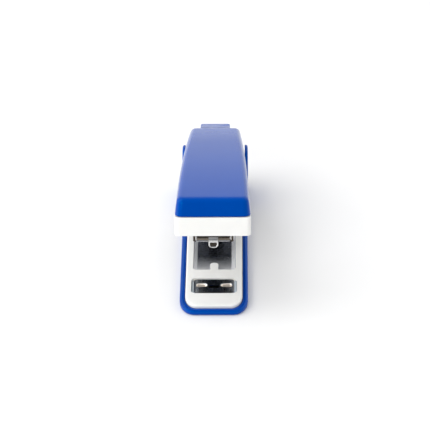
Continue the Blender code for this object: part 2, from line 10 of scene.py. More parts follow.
import bmesh
import bpy
from mathutils import Matrix, Vector


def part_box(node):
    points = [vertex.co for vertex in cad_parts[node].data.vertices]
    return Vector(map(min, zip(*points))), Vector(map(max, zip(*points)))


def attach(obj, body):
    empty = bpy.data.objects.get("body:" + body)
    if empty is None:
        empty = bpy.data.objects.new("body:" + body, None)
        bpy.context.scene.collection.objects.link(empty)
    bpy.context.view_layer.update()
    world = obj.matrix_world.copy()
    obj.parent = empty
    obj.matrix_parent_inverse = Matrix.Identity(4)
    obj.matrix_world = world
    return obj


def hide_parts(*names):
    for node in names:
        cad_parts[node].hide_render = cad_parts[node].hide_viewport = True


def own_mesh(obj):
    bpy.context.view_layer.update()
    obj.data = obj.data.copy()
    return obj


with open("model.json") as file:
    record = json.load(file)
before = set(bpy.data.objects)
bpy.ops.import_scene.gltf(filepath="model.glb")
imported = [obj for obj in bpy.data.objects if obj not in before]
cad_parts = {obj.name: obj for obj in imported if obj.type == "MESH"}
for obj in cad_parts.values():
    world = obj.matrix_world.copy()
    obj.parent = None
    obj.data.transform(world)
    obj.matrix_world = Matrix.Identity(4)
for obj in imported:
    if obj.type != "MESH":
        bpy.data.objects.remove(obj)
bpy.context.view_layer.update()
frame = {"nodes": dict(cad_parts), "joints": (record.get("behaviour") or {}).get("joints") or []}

MM = 0.001
JOINTS = {joint["name"]: joint for joint in frame["joints"]}
PIN = Vector(JOINTS["magazine_pivot"]["pos_m"])
SLIDE = JOINTS["pusher_slide"]["axis"]
MAGAZINE_TILT = math.atan2(-SLIDE[2], SLIDE[1])
HANDLE_REST_ANGLE = math.radians(4.0)
HANDLE_TILT = MAGAZINE_TILT + HANDLE_REST_ANGLE
FRONT_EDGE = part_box("base_sole")[0].y

SCALE = Matrix.Scale(MM, 4)
BASE = Matrix.Translation((0, FRONT_EDGE, 0)) @ SCALE
MAGAZINE = Matrix.Translation(PIN) @ Matrix.Rotation(-MAGAZINE_TILT, 4, "X") @ SCALE
HANDLE = Matrix.Translation(PIN) @ Matrix.Rotation(-HANDLE_TILT, 4, "X") @ SCALE


def local_box(node, place):
    """Lowest and highest corners of a CAD node in one of the frames above, in millimetres."""
    back = place.inverted()
    points = [back @ vertex.co for vertex in frame["nodes"][node].data.vertices]
    low = Vector([min(p[axis] for p in points) for axis in range(3)])
    high = Vector([max(p[axis] for p in points) for axis in range(3)])
    return low, high


# ---------------------------------------------------------------- materials
# Depths and places are in metres, noise scales in cycles per metre.

GRAIN_DEPTH = 0.00003
SPANGLE_DEPTH = 0.00014
SPANGLE_SCALE = 2400.0
FLOW_SCALE, PATCH_SCALE, STREAK_SCALE = 70.0, 260.0, 1500.0


def new_material(name, colour, roughness, metallic=0.0, **sockets):
    """A Principled material and its node tree; sockets are constants on the shader."""
    mat = bpy.data.materials.new(name)
    mat.use_nodes = True
    tree = mat.node_tree
    shader = tree.nodes["Principled BSDF"]
    shader.inputs["Base Color"].default_value = (*colour, 1.0)
    shader.inputs["Roughness"].default_value = roughness
    shader.inputs["Metallic"].default_value = metallic
    for socket, value in sockets.items():
        shader.inputs[socket.replace("_", " ")].default_value = value
    return mat, tree, shader


def noise(tree, scale, detail=3.0, roughness=0.5, stretch=None, distortion=0.0):
    """Noise in object space; scale is in cycles per metre and stretch scales each axis."""
    coords = tree.nodes.new("ShaderNodeTexCoord")
    texture = tree.nodes.new("ShaderNodeTexNoise")
    texture.inputs["Scale"].default_value = scale
    texture.inputs["Detail"].default_value = detail
    texture.inputs["Roughness"].default_value = roughness
    texture.inputs["Distortion"].default_value = distortion
    vector = coords.outputs["Object"]
    if stretch:
        mapping = tree.nodes.new("ShaderNodeMapping")
        mapping.inputs["Scale"].default_value = stretch
        tree.links.new(vector, mapping.inputs["Vector"])
        vector = mapping.outputs["Vector"]
    tree.links.new(vector, texture.inputs["Vector"])
    return texture.outputs["Fac"]


def ramp(tree, value, low, high, start=0.35, end=0.65):
    """Maps a value to a number between low and high."""
    node = tree.nodes.new("ShaderNodeMapRange")
    node.inputs["From Min"].default_value = start
    node.inputs["From Max"].default_value = end
    node.inputs["To Min"].default_value = low
    node.inputs["To Max"].default_value = high
    tree.links.new(value, node.inputs["Value"])
    return node.outputs["Result"]


def tint(tree, value, low, high):
    """Mixes two colours by a value."""
    node = tree.nodes.new("ShaderNodeMix")
    node.data_type = "RGBA"
    node.inputs[6].default_value = (*low, 1.0)
    node.inputs[7].default_value = (*high, 1.0)
    tree.links.new(value, node.inputs[0])
    return node.outputs[2]


def bump(tree, shader, layers):
    """Chains bump nodes; layers are (height output, strength, distance in metres)."""
    normal = None
    for height, strength, distance in layers:
        node = tree.nodes.new("ShaderNodeBump")
        node.inputs["Strength"].default_value = strength
        node.inputs["Distance"].default_value = distance
        tree.links.new(height, node.inputs["Height"])
        if normal:
            tree.links.new(normal, node.inputs["Normal"])
        normal = node.outputs["Normal"]
    tree.links.new(normal, shader.inputs["Normal"])


def plastic(name, low, high, roughness, grain, grain_strength, **sockets):
    """Moulded plastic: slight flow mottling, uneven satin and a fine spark-eroded grain."""
    mat, tree, shader = new_material(name, low, roughness, **sockets)
    flow = ramp(tree, noise(tree, FLOW_SCALE, 2.0, distortion=0.6), 0.0, 1.0)
    tree.links.new(tint(tree, flow, low, high), shader.inputs["Base Color"])
    patches = ramp(tree, noise(tree, PATCH_SCALE, 4.0), roughness - 0.02, roughness + 0.025)
    tree.links.new(patches, shader.inputs["Roughness"])
    bump(tree, shader, [(noise(tree, grain, 2.0), grain_strength, GRAIN_DEPTH)])
    return mat


def place_mask(tree, axis, start, end):
    """0 to 1 between two places, in metres; start and end may run either way, and X is mirrored."""
    coords = tree.nodes.new("ShaderNodeTexCoord")
    parts = tree.nodes.new("ShaderNodeSeparateXYZ")
    tree.links.new(coords.outputs["Object"], parts.inputs["Vector"])
    value = parts.outputs[axis]
    if axis == "X":
        size = tree.nodes.new("ShaderNodeMath")
        size.operation = "ABSOLUTE"
        tree.links.new(value, size.inputs[0])
        value = size.outputs["Value"]
    return ramp(tree, value, 0.0, 1.0, start, end)


def mixed(tree, value, low, high):
    """Mixes a linked colour towards a fixed one."""
    node = tree.nodes.new("ShaderNodeMix")
    node.data_type = "RGBA"
    node.inputs[7].default_value = (*high, 1.0)
    tree.links.new(low, node.inputs[6])
    tree.links.new(value, node.inputs[0])
    return node.outputs[2]


def sheet_metal(name, low, high, roughness, brush, spangle=0.0, painted_light_places=(), cloud=180.0):
    """Plated sheet: streaks along the part, faint clouding, a crystal spangle where asked for, and
    places painted lighter or darker for light and shade, given in turn as (axis, start, end, colour,
    roughness)."""
    mat, tree, shader = new_material(name, low, roughness, 1.0)
    streaks = noise(tree, STREAK_SCALE, 3.0, stretch=(1.0, 0.06, 0.5))
    clouds = noise(tree, cloud, 4.0, 0.6)
    colour = tint(tree, ramp(tree, clouds, 0.0, 1.0), low, high)
    layers = [(streaks, brush, GRAIN_DEPTH)]
    if spangle:
        coords = tree.nodes.new("ShaderNodeTexCoord")
        cells = tree.nodes.new("ShaderNodeTexVoronoi")
        cells.inputs["Scale"].default_value = SPANGLE_SCALE
        tree.links.new(coords.outputs["Object"], cells.inputs["Vector"])
        satin = ramp(tree, cells.outputs["Distance"], roughness - 0.1, roughness + 0.14, 0.0, 0.8)
        layers.append((cells.outputs["Distance"], spangle, SPANGLE_DEPTH))
    else:
        satin = ramp(tree, streaks, roughness - 0.04, roughness + 0.06)
    # Each place mixes in a painted colour and roughness that stand for light or shade.
    for axis, start, end, painted_colour, rough in painted_light_places:
        mask = place_mask(tree, axis, start, end)
        colour = mixed(tree, mask, colour, painted_colour)
        blend = tree.nodes.new("ShaderNodeMix")
        blend.inputs["B"].default_value = rough
        tree.links.new(mask, blend.inputs["Factor"])
        tree.links.new(satin, blend.inputs["A"])
        satin = blend.outputs["Result"]
    tree.links.new(colour, shader.inputs["Base Color"])
    tree.links.new(satin, shader.inputs["Roughness"])
    bump(tree, shader, layers)
    return mat


BLUE = plastic("blue_plastic", (0.0, 0.049, 0.345), (0.0, 0.053, 0.36), 0.14, 5200.0, 0.015,
               Specular_Tint=(0.0, 0.45, 1.0, 1.0))
WHITE = plastic("white_plastic", (0.87, 0.87, 0.845), (0.90, 0.90, 0.88), 0.34, 4200.0, 0.03,
                Subsurface_Weight=0.08, Subsurface_Radius=(0.0008, 0.0007, 0.0006))
DARK = plastic("dark_plastic", (0.020, 0.020, 0.022), (0.030, 0.030, 0.033), 0.42, 2600.0, 0.18)
RUBBER = plastic("rubber", (0.016, 0.016, 0.016), (0.026, 0.025, 0.024), 0.72, 1800.0, 0.35)
PLATE_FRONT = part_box("base_plate")[0].y
ANVIL_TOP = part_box("anvil")[1].z
NOSE_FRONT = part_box("magazine_channel")[0].y
NOSE_GROOVE = (-4.55, -4.3)
NOSE_SPLIT = (MAGAZINE @ Vector((0.0, -61.35, NOSE_GROOVE[0]))).z
NICKEL = sheet_metal("nickel_plate", (0.66, 0.66, 0.66), (0.74, 0.74, 0.73), 0.16, 0.03)
# The anvil's pockets are duller and painted warmer, a painted reflection of the white insert, its ends
# painted lighter as a painted highlight, and its middle kept as its face.
ANVIL_STEEL = sheet_metal("anvil_steel", (0.30, 0.33, 0.36), (0.38, 0.41, 0.44), 0.08, 0.01, painted_light_places=(
    ("Z", ANVIL_TOP - 0.00008, ANVIL_TOP - 0.0002, (0.95, 0.86, 0.76), 0.42),
    ("X", 0.0066, 0.0069, (0.50, 0.56, 0.62), 0.3),
    ("X", 0.0021, 0.00205, (0.34, 0.37, 0.40), 0.08)))
# The tray is painted brighter towards its front and along its upturned sides, a painted reflection, with a
# thin painted shade line along its front edge.
TRAY = sheet_metal("tray_steel", (0.035, 0.042, 0.055), (0.30, 0.325, 0.37), 0.22, 0.04, 0.5, (
    ("Y", PLATE_FRONT + 0.009, PLATE_FRONT + 0.0005, (0.97, 0.98, 1.0), 0.55),
    ("Y", PLATE_FRONT + 0.0005, PLATE_FRONT + 0.0003, (0.05, 0.05, 0.05), 0.4),
    ("X", 0.0056, 0.0058, (0.97, 0.98, 1.0), 0.55)), 2200.0)
ZINC = sheet_metal("zinc_plate", (0.40, 0.385, 0.36), (0.48, 0.465, 0.44), 0.26, 0.08)
# The channel's front and the nose plate above its groove are painted near black, painted shade under the
# handle; the nose plate's brown is partly its coating and partly painted shade.
CHANNEL_STEEL = sheet_metal("channel_steel", (0.50, 0.485, 0.46), (0.58, 0.565, 0.54), 0.26, 0.08, painted_light_places=(
    ("Y", NOSE_FRONT + 0.0025, NOSE_FRONT + 0.0015, (0.045, 0.035, 0.027), 0.3),))
NOSE_STEEL = sheet_metal("nose_steel", (0.15, 0.13, 0.105), (0.20, 0.175, 0.145), 0.25, 0.10, painted_light_places=(
    ("Z", NOSE_SPLIT, NOSE_SPLIT + 0.00015, (0.018, 0.014, 0.010), 0.3),))
# Near-black steel for sheets of painted shade.
SHADE_STEEL = sheet_metal("painted_shade_steel", (0.035, 0.031, 0.026), (0.055, 0.048, 0.040), 0.30, 0.06)
SPRING = sheet_metal("spring_steel", (0.30, 0.295, 0.29), (0.38, 0.37, 0.355), 0.24, 0.10)
BLUED = sheet_metal("blued_spring_steel", (0.035, 0.038, 0.046), (0.060, 0.064, 0.075), 0.22, 0.08)
WIRE = sheet_metal("staple_wire", (0.46, 0.46, 0.46), (0.54, 0.54, 0.54), 0.22, 0.06)


# ---------------------------------------------------------------- mesh helpers

SMOOTH_ANGLE = 32.0
BEVEL_ANGLE = 50.0


def piece(name, bm, place, look, body, replaced=(), smooth_angle=SMOOTH_ANGLE):
    """Turns a bmesh in a local frame into a finished piece that rides on a body."""
    bmesh.ops.recalc_face_normals(bm, faces=bm.faces)
    mesh = bpy.data.meshes.new(name)
    bm.to_mesh(mesh)
    bm.free()
    mesh.transform(place)
    mesh.shade_smooth()
    mesh.set_sharp_from_angle(angle=math.radians(smooth_angle))
    mesh.materials.append(look)
    obj = bpy.data.objects.new(name, mesh)
    bpy.context.collection.objects.link(obj)
    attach(obj, body)
    if replaced:
        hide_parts(*replaced)
    return obj


def raw(name, bm, place):
    """A closed shape that is only used up by a Boolean."""
    bmesh.ops.recalc_face_normals(bm, faces=bm.faces)
    mesh = bpy.data.meshes.new(name)
    bm.to_mesh(mesh)
    bm.free()
    mesh.transform(place)
    obj = bpy.data.objects.new(name, mesh)
    bpy.context.collection.objects.link(obj)
    return obj


def combine(target, tool, operation="DIFFERENCE"):
    """Runs a Boolean at once and deletes the tool, keeping the target's smooth shading."""
    modifier = target.modifiers.new("cut", "BOOLEAN")
    modifier.operation = operation
    modifier.object = tool
    depsgraph = bpy.context.evaluated_depsgraph_get()
    result = bpy.data.meshes.new_from_object(target.evaluated_get(depsgraph))
    target.modifiers.remove(modifier)
    old = target.data
    target.data = result
    result.name = target.name
    bpy.data.meshes.remove(old)
    bpy.data.objects.remove(tool, do_unlink=True)
    result.shade_smooth()
    result.set_sharp_from_angle(angle=math.radians(SMOOTH_ANGLE))


def bevel(obj, width, segments=2):
    """Rounds the sharp edges of a piece or of a CAD node; width is in millimetres."""
    modifier = obj.modifiers.new("edges", "BEVEL")
    modifier.width = width * MM
    modifier.segments = segments
    modifier.limit_method = "ANGLE"
    modifier.angle_limit = math.radians(BEVEL_ANGLE)
    modifier.harden_normals = True


def skin(bm, rings, closed=False):
    """Joins rings of equal length, and closes the first and last unless the rings run round."""
    loops = [[bm.verts.new(point) for point in ring] for ring in rings]
    count = len(loops[0])
    pairs = list(zip(loops, loops[1:]))
    if closed:
        pairs.append((loops[-1], loops[0]))
    for low, high in pairs:
        for i in range(count):
            j = (i + 1) % count
            bm.faces.new((low[i], low[j], high[j], high[i]))
    if not closed:
        bm.faces.new(loops[0])
        bm.faces.new(loops[-1])


def level(outline, z):
    return [(x, y, z) for x, y in outline]


def lofted(rings, closed=False):
    bm = bmesh.new()
    skin(bm, rings, closed)
    return bm


def prism(outline, low, high):
    return lofted([level(outline, low), level(outline, high)])


def side_prism(outline, low, high):
    return lofted([[(x, y, z) for y, z in outline] for x in (low, high)])


def front_prism(outline, low, high):
    return lofted([[(x, y, z) for x, z in outline] for y in (low, high)])


def turned(profile, centre, sides=48, closed=False):
    """Rings of (distance along the axis, radius) round the axis through centre, along X."""
    rings = []
    for along, radius in profile:
        ring = []
        for i in range(sides):
            angle = math.tau * i / sides
            offset = (along, radius * math.cos(angle), radius * math.sin(angle))
            ring.append(tuple(c + o for c, o in zip(centre, offset)))
        rings.append(ring)
    return lofted(rings, closed)


def arc(centre, radii, start, end, steps):
    """Points from one angle to another, in degrees, round an ellipse."""
    points = []
    for i in range(steps + 1):
        angle = math.radians(start + (end - start) * i / steps)
        points.append((centre[0] + radii[0] * math.cos(angle), centre[1] + radii[1] * math.sin(angle)))
    return points


def rounded_box(x_half, y_low, y_high, radius, steps=10):
    """Outline of a rectangle with rounded corners, centred on x = 0."""
    outline = []
    corners = ((x_half, y_low, -90), (x_half, y_high, 0), (-x_half, y_high, 90), (-x_half, y_low, 180))
    for x, y, start in corners:
        centre = (x - math.copysign(radius, x), y + (radius if y == y_low else -radius))
        outline += arc(centre, (radius, radius), start, start + 90, steps)
    return outline


def fillet(inset, z, width, height, steps):
    """Profile points (inset, z) round an edge, from upright to level."""
    points = []
    for i in range(steps + 1):
        angle = math.radians(90 * i / steps)
        points.append((inset + width * (1 - math.cos(angle)), z + height * math.sin(angle)))
    return points


# ---------------------------------------------------------------- base

SOLE_HIGH = local_box("base_sole", BASE)[1]
BASE_LENGTH = SOLE_HIGH.y
BASE_HALF_WIDTH = 11.15
SOLE_BOTTOM = 0.08
SOLE_EDGE = 0.5
RIM_TOP = 1.8
RIM_WIDTH = 1.6
SOLE_FLOOR = 1.2
FRONT_CORNER_X, FRONT_CORNER_Y, REAR_CORNER = 4.8, 6.8, 4.0
CORNER_STEPS = 20
INSERT_LOW, INSERT_HIGH = local_box("base_insert", BASE)
PLATE_LOW, PLATE_HIGH = local_box("base_plate", BASE)
ANVIL_LOW, ANVIL_HIGH = local_box("anvil", BASE)
PIN_Y = PIN.y / MM - FRONT_EDGE / MM
PIN_Z = PIN.z / MM
PIN_RADIUS = 1.15
PIN_HOLE_RADIUS = 1.45
EAR_RADIUS = 4.6
EAR_INNER, EAR_OUTER = 10.25, SOLE_HIGH.x
EAR_FOOT_Y = 60.5
POCKET_Y = 13.8
TONGUE_SLOT = (12.16, 13.6)
SLOT_HALF_WIDTH, SLOT_CORNER = 1.95, 0.4
ANVIL_OVERLAP = 0.2
WINDOW_GAP = 0.3
TONGUE_HALF_WIDTH, TONGUE_LENGTH = 1.35, 4.0


def base_outline(inset):
    """Outline of the base, drawn in by inset."""
    half = BASE_HALF_WIDTH - inset
    front_x, front_y = FRONT_CORNER_X - inset * 0.5, FRONT_CORNER_Y - inset * 0.5
    rear = REAR_CORNER - inset
    right = arc((half - front_x, inset + front_y), (front_x, front_y), -90, 0, CORNER_STEPS)
    right += arc((half - rear, BASE_LENGTH - inset - rear), (rear, rear), 0, 90, 12)
    return right + [(-x, y) for x, y in reversed(right)]


def make_sole():
    """Moulded sole with a rounded rim, two ears and recesses for the pads."""
    low, edge = SOLE_BOTTOM, SOLE_EDGE
    profile = [(0.9, low), (edge, low)]
    profile += [(edge - edge * math.sin(math.radians(15 * i)),
                 low + edge * (1 - math.cos(math.radians(15 * i)))) for i in range(1, 7)]
    profile += fillet(0.0, RIM_TOP - 0.4, 0.4, 0.4, 6)
    profile += [(RIM_WIDTH - 0.15 + 0.15 * math.sin(math.radians(30 * i)),
                 RIM_TOP - 0.15 * (1 - math.cos(math.radians(30 * i)))) for i in range(4)]
    profile.append((RIM_WIDTH, SOLE_FLOOR))
    sole = piece("sole_shell", lofted([level(base_outline(inset), z) for inset, z in profile]), BASE, BLUE,
                 "base", ("base_sole",))
    for side in (-1, 1):
        add_ear(sole, side)
    for node in ("front_pad", "rear_pad"):
        low_corner, high_corner = local_box(node, BASE)
        recess = rounded_box(high_corner.x + 0.3, low_corner.y - 0.3, high_corner.y + 0.3, 1.8)
        combine(sole, raw("recess", prism(recess, -1.0, high_corner.z + 0.2), BASE))


def add_ear(sole, side):
    """A rounded lug with a countersunk hole for the pin."""
    foot = RIM_TOP - 0.5
    outline = arc((EAR_FOOT_Y, foot + 3.0), (3.0, 3.0), -90, -38, 5)
    outline += reversed(arc((PIN_Y, PIN_Z), (EAR_RADIUS, EAR_RADIUS), -12, 148, 30))
    outline += [(PIN_Y + EAR_RADIUS - 0.3, 6.0), (PIN_Y + EAR_RADIUS - 0.9, foot)]
    middle = Vector((PIN_Y, PIN_Z))
    quarter = [math.radians(15 * i) for i in range(7)]
    lofts = []
    steps = [(EAR_INNER + 0.25 * (1 - math.cos(a)), 0.25 * (1 - math.sin(a))) for a in quarter]
    steps += [(EAR_OUTER - 0.8 * (1 - math.cos(a)), 0.8 * (1 - math.sin(a))) for a in reversed(quarter)]
    for x, inset in steps:
        ring = []
        for y, z in outline:
            away = Vector((y, z)) - middle
            near = away * (1 - inset / away.length) + middle
            ring.append((side * x, near.x, near.y if z > foot + 0.01 else z))
        lofts.append(ring)
    combine(sole, raw("ear", lofted(lofts), BASE), "UNION")
    hole = turned([(-3.0, PIN_HOLE_RADIUS), (3.0, PIN_HOLE_RADIUS)], (side * EAR_OUTER, PIN_Y, PIN_Z))
    combine(sole, raw("hole", hole, BASE))
    recess = turned([(-side * 0.5, 2.45), (-side * 0.1, 2.45), (side * 0.3, 2.8)],
                    (side * EAR_OUTER, PIN_Y, PIN_Z))
    combine(sole, raw("recess", recess, BASE))


def make_insert():
    """Raised white moulding with the anvil's window, the tray's window and its small tongue."""
    start = RIM_WIDTH + 0.25
    top = INSERT_HIGH.z
    rear = INSERT_HIGH.y
    profile = [(0.15, INSERT_LOW.z), (0.0, INSERT_LOW.z + 0.15)] + fillet(0.0, top - 0.55, 0.6, 0.55, 9)
    rings = [[(x, min(y, rear - inset), z) for x, y in base_outline(start + inset)]
             for inset, z in profile]
    insert = piece("insert_panel", lofted(rings), BASE, WHITE, "base", ("base_insert",))
    margin = 0.25
    anvil_window = rounded_box(ANVIL_HIGH.x + margin, ANVIL_LOW.y - margin, ANVIL_HIGH.y + margin, 1.5)
    front, end = PLATE_LOW.y - WINDOW_GAP, PLATE_HIGH.y + WINDOW_GAP
    half, tip = TONGUE_HALF_WIDTH, front + TONGUE_LENGTH
    plate_window = rounded_box(PLATE_HIGH.x + WINDOW_GAP, front, end, 1.2)
    plate_window += arc((-half - 0.35, front + 0.35), (0.35, 0.35), -90, 0, 4)
    plate_window += reversed(arc((0.0, tip - 1.0), (half, 1.0), 0, 180, 16))
    plate_window += arc((half + 0.35, front + 0.35), (0.35, 0.35), 180, 270, 4)
    for outline in (anvil_window, plate_window):
        combine(insert, raw("window", prism(outline, 0.0, 4.0), BASE))
    bevel(insert, 0.14, 3)


def make_tray():
    """Tray in the long window, its front and upturned sides painted bright as a painted reflection: a flat
    floor, rounded bends and upturned sides.
    """
    half, low, high, sheet = PLATE_HIGH.x + 0.2, PLATE_LOW.z, PLATE_HIGH.z, 0.4
    wing, rise = 1.35, high - low - sheet
    inner = [(half - wing + wing * t - 0.12 * math.sin(math.pi * t), low + sheet + rise * t ** 1.6)
             for t in (0.0, 0.12, 0.25, 0.4, 0.55, 0.7, 0.85, 1.0)]
    outer = [(half, low + sheet + rise), (half, low + 0.9), (half - 0.3, low + 0.25), (half - 0.75, low)]
    right = [(x, z) for x, z in reversed(outer)] + [(x, z) for x, z in reversed(inner)][1:]
    section = right + [(-x, z) for x, z in reversed(right)]
    tray = piece("plate_tray", front_prism(section, PLATE_LOW.y, PLATE_HIGH.y), BASE, TRAY, "base",
                 ("base_plate",))
    corners = rounded_box(half + 0.1, PLATE_LOW.y - 0.1, PLATE_HIGH.y + 0.1, 1.1)
    combine(tray, raw("corners", prism(corners, 0.0, 4.0), BASE), "INTERSECT")
    tip = PLATE_LOW.y - WINDOW_GAP + TONGUE_LENGTH
    notch = rounded_box(TONGUE_HALF_WIDTH + 0.12, PLATE_LOW.y - 3.0, tip + 0.1, 0.9)
    combine(tray, raw("notch", prism(notch, 0.0, 4.0), BASE))
    bevel(tray, 0.06)


def pocket_depth(x, y, middle):
    """Depth of the two leg pockets: curved grooves that shelve up towards their ends."""
    inner, outer, depth = 2.15, 5.95, 0.5
    along = (abs(x) - inner) / (outer - inner)
    if along <= 0.0 or along >= 1.0:
        return 0.0
    width = (0.85 + 0.25 * smooth_step(along * 1.6)) * (1 - abs(2 * along - 1) ** 5) ** 0.5
    across = abs(y - middle) / max(width, 1e-6)
    if across >= 1.0:
        return 0.0
    ends = min(1.0, 5.0 * min(along, 1 - along)) ** 0.7
    return depth * ends * (1 - across ** 2.6) ** 0.6


def make_anvil():
    """Polished anvil plate with two pressed leg pockets and a slot for the magazine's tongue."""
    half = ANVIL_HIGH.x + ANVIL_OVERLAP
    low, high = ANVIL_LOW.y - ANVIL_OVERLAP, ANVIL_HIGH.y + ANVIL_OVERLAP
    top = ANVIL_HIGH.z
    bm = bmesh.new()
    columns, rows = 150, 84
    flat_x, flat_y, middle = half - 2.05, (high - low) / 2 - 1.7, (low + high) / 2
    grid = []
    for j in range(rows + 1):
        y = low + (high - low) * j / rows
        line = []
        for i in range(columns + 1):
            x = -half + 2 * half * i / columns
            past_x = max(abs(x) - flat_x, 0.0)
            past_y = max(abs(y - middle) - flat_y, 0.0)
            outside = max(math.hypot(past_x / 1.3, past_y / 1.35) - 1.0, 0.0)
            z = top - pocket_depth(x, y, POCKET_Y) - 0.75 * min(outside, 0.8) ** 1.1
            line.append(bm.verts.new((x, y, z)))
        grid.append(line)
    for j in range(rows):
        for i in range(columns):
            bm.faces.new((grid[j][i], grid[j][i + 1], grid[j + 1][i + 1], grid[j + 1][i]))
    border = [edge for edge in bm.edges if edge.is_boundary]
    skirt = bmesh.ops.extrude_edge_only(bm, edges=border)["geom"]
    for vertex in [item for item in skirt if isinstance(item, bmesh.types.BMVert)]:
        vertex.co.z = ANVIL_LOW.z
    bmesh.ops.holes_fill(bm, edges=[edge for edge in bm.edges if edge.is_boundary], sides=0)
    anvil = piece("anvil_plate", bm, BASE, ANVIL_STEEL, "base", ("anvil",), 60.0)
    combine(anvil, raw("corners", prism(rounded_box(half, low, high, 1.3), 0.0, 4.0), BASE), "INTERSECT")
    slot = rounded_box(SLOT_HALF_WIDTH, *TONGUE_SLOT, SLOT_CORNER)
    combine(anvil, raw("slot", prism(slot, 0.0, 4.0), BASE))
    # A dark sheet at the bottom of the slot is painted shade.
    piece("tongue_slot_shade_sheet", prism(slot, SOLE_FLOOR + 0.03, SOLE_FLOOR + 0.1), BASE, SHADE_STEEL, "base")


def make_pads():
    """Rubber pads with moulded cross ribs."""
    for node in ("front_pad", "rear_pad"):
        low, high = local_box(node, BASE)
        rings = [level(rounded_box(high.x - inset, low.y + inset, high.y - inset, 1.5 - inset), z)
                 for inset, z in ((0.15, 0.0), (0.0, 0.15), (0.0, high.z - 0.1), (0.1, high.z))]
        pad = piece(f"{node}_ribbed", lofted(rings), BASE, RUBBER, "base", (node,))
        groove = low.y + 1.5
        while groove < high.y - 1.2:
            cut = rounded_box(high.x - 1.0, groove, groove + 0.45, 0.2, 3)
            combine(pad, raw("groove", prism(cut, -0.5, 0.15), BASE))
            groove += 1.2


def make_pin():
    """Pivot pin with a domed head at one end and a push-on clip at the other."""
    outer = EAR_OUTER
    head = [(-outer + 0.05 + 0.25 * (1 - math.cos(math.radians(a))), 2.05 * math.sin(math.radians(a)))
            for a in (8, 20, 35, 50, 65, 80, 90)]
    profile = head + [(-outer + 0.4, 2.05), (-outer + 0.4, PIN_RADIUS), (outer - 0.3, PIN_RADIUS),
                      (outer - 0.16, PIN_RADIUS - 0.1), (outer - 0.1, PIN_RADIUS - 0.28)]
    piece("pivot_pin_headed", turned(profile, (0, PIN_Y, PIN_Z)), BASE, ZINC, "base",
          ("pivot_pin",))
    inner, rim, low, high = PIN_RADIUS + 0.15, 2.1, outer - 0.42, outer - 0.15
    ring = [(low, inner), (low, rim - 0.1), (low + 0.1, rim), (high - 0.05, rim), (high, rim - 0.15),
            (high + 0.06, inner + 0.3), (high, inner)]
    clip = piece("pin_clip_ring", turned(ring, (0, PIN_Y, PIN_Z), closed=True), BASE, SPRING, "base",
                 ("pin_clip",))
    for turn in (90, 210, 330):
        angle = math.radians(turn)
        centre = (outer - 0.3, PIN_Y + 1.25 * math.cos(angle), PIN_Z + 1.25 * math.sin(angle))
        notch = turned([(-0.6, 0.3), (0.6, 0.3)], centre, 16)
        combine(clip, raw("notch", notch, BASE))


# ---------------------------------------------------------------- magazine

CHANNEL_LOW, CHANNEL_HIGH = local_box("magazine_channel", MAGAZINE)
NOSE_LOW, NOSE_HIGH = local_box("front_plate", MAGAZINE)
STRIP_LOW, STRIP_HIGH = local_box("staple_strip", MAGAZINE)
SPRING_LOW, SPRING_HIGH = local_box("pusher_spring", MAGAZINE)
CHANNEL_WALL = 1.0
CHANNEL_FLOOR = 0.6
EXIT_REAR = 59.2
HEEL_RADIUS = 5.55
NOSE_SHEET = 0.6
NOSE_BOTTOM = CHANNEL_LOW.z + 0.05
NOSE_FACE = NOSE_HIGH.y - NOSE_SHEET
STAPLE_COUNT = 50
STAPLE_WIRE = 0.5
STAPLE_SHOULDER = 0.45


def make_channel():
    """Folded channel: rounded bends below, the staple exit cut out of its floor at the nose."""
    half, low, top = CHANNEL_HIGH.x, CHANNEL_LOW.z, CHANNEL_HIGH.z
    inner, floor, bend = half - CHANNEL_WALL, low + CHANNEL_FLOOR, 0.7
    outline = [(-half, top)]
    outline += arc((-half + bend, low + bend), (bend, bend), 180, 270, 6)
    outline += arc((half - bend, low + bend), (bend, bend), 270, 360, 6)
    outline += [(half, top), (inner, top)]
    outline += arc((inner - 0.35, floor + 0.35), (0.35, 0.35), 360, 270, 4)
    outline += arc((-inner + 0.35, floor + 0.35), (0.35, 0.35), 270, 180, 4)
    outline.append((-inner, top))
    channel = piece("channel_folded", front_prism(outline, CHANNEL_LOW.y, CHANNEL_HIGH.y), MAGAZINE,
                    CHANNEL_STEEL, "magazine", ("magazine_channel",))
    ahead = CHANNEL_LOW.y - 1.0
    slot = [(-inner, ahead), (inner, ahead), (inner, -EXIT_REAR), (-inner, -EXIT_REAR)]
    combine(channel, raw("exit", prism(slot, low - 1.0, floor + 0.2), MAGAZINE))
    heel = [(CHANNEL_HIGH.y + 1.0, low - 1.0), (0.0, low - 1.0), (0.0, low)]
    heel += arc((0.0, 0.0), (HEEL_RADIUS, HEEL_RADIUS), -70, -40, 12)
    combine(channel, raw("heel", side_prism(heel, -12, 12), MAGAZINE))
    hole = turned([(-9.0, PIN_HOLE_RADIUS), (9.0, PIN_HOLE_RADIUS)], (0, 0, 0))
    combine(channel, raw("hole", hole, MAGAZINE))
    bevel(channel, 0.12)


def smooth_step(value):
    """0 to 1 with level ends."""
    value = min(max(value, 0.0), 1.0)
    return value * value * (3 - 2 * value)


